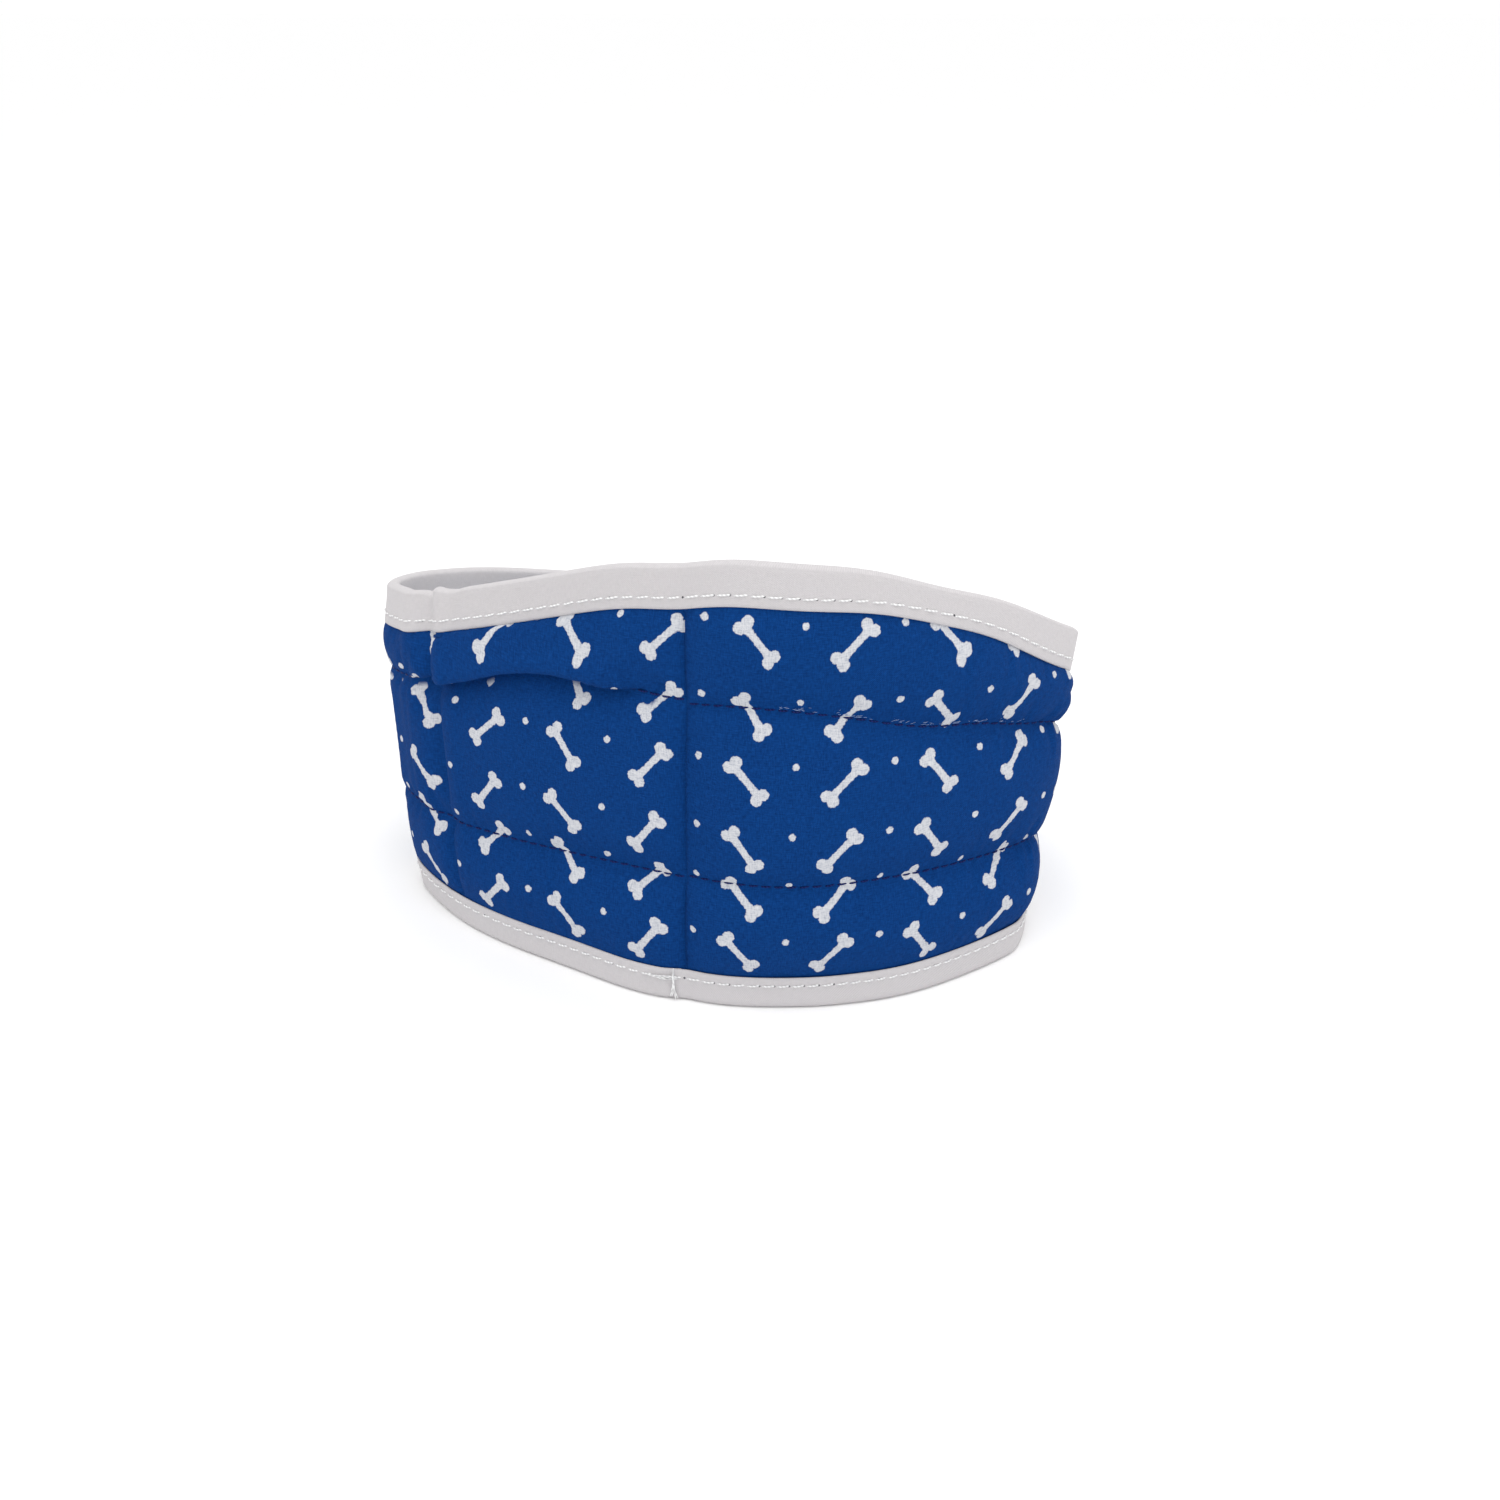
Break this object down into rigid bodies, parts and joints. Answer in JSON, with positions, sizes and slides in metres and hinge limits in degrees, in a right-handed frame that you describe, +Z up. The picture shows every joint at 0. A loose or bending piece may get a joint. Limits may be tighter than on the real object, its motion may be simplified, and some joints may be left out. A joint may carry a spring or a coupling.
{
  "type": "soft padded neck recovery collar",
  "caption": "Padded fabric neck-band recovery collar for a pet: printed cotton panels quilted in channels, bound edges, and a hook-and-loop closure flap at the back.",
  "frame": {"origin": "on the surface it stands on, in the middle of the footprint of the closed band", "axes": "+Z up through the neck opening, -Y towards the front seam, +X to the right as seen from the front"},
  "size_m": [0.1736, 0.1132, 0.108],
  "materials": {
    "printed_cotton": "plain-weave royal blue cotton with a small off-white bone and dot print",
    "lining_cloth": "smooth pale bluish-grey lining",
    "binding_tape": "light warm grey twill bias tape",
    "white_thread": "twisted white polyester thread",
    "blue_thread": "twisted dark blue polyester thread",
    "padding": "white polyester wadding",
    "loop_tape": "napped blue loop tape",
    "hook_tape": "stiff blue hook tape"
  },
  "bodies": {
    "front_band": {"binding_bottom_left_front": "binding_tape", "binding_bottom_right": "binding_tape", "binding_end_underlap": "binding_tape", "binding_join_backtack": "white_thread", "binding_top_left_front": "binding_tape", "binding_top_right": "binding_tape", "centre_seam_thread": "blue_thread", "cover_panel_left_front": "printed_cotton", "cover_panel_right": "printed_cotton", "lining_left_front": "lining_cloth", "lining_right": "lining_cloth", "loop_tape": "loop_tape", "loop_tape_stitching": "blue_thread", "pad_lower_left_front": "padding", "pad_lower_right": "padding", "pad_middle_left_front": "padding", "pad_middle_right": "padding", "pad_upper_left_front": "padding", "pad_upper_right": "padding", "quilting_lower_left_front": "blue_thread", "quilting_lower_right": "blue_thread", "quilting_upper_left_front": "blue_thread", "quilting_upper_right": "blue_thread", "topstitch_bottom_left_front": "white_thread", "topstitch_bottom_right": "white_thread", "topstitch_top_left_front": "white_thread", "topstitch_top_right": "white_thread"},
    "left_rear_band": {"binding_bottom_left_rear": "binding_tape", "binding_top_left_rear": "binding_tape", "cover_panel_left_rear": "printed_cotton", "lining_left_rear": "lining_cloth", "pad_lower_left_rear": "padding", "pad_middle_left_rear": "padding", "pad_upper_left_rear": "padding", "quilting_lower_left_rear": "blue_thread", "quilting_upper_left_rear": "blue_thread", "topstitch_bottom_left_rear": "white_thread", "topstitch_top_left_rear": "white_thread"},
    "closure_flap": {"binding_bottom_flap": "binding_tape", "binding_end_flap": "binding_tape", "binding_top_flap": "binding_tape", "flap_cover": "printed_cotton", "flap_lining": "lining_cloth", "hook_tape": "hook_tape", "hook_tape_stitching": "blue_thread", "topstitch_bottom_flap": "white_thread", "topstitch_top_flap": "white_thread"}
  },
  "joints": [
    {"name": "band_opening", "type": "hinge", "parent": "front_band", "child": "left_rear_band", "pos_m": [-0.08475, 0.01982, 0.04], "axis": [0, 0, 1], "range_deg": [0, 100]},
    {"name": "flap_peel", "type": "hinge", "parent": "left_rear_band", "child": "closure_flap", "pos_m": [-0.02181, 0.05499, 0.035], "axis": [0, 0, 1], "range_deg": [0, 120]}
  ]
}
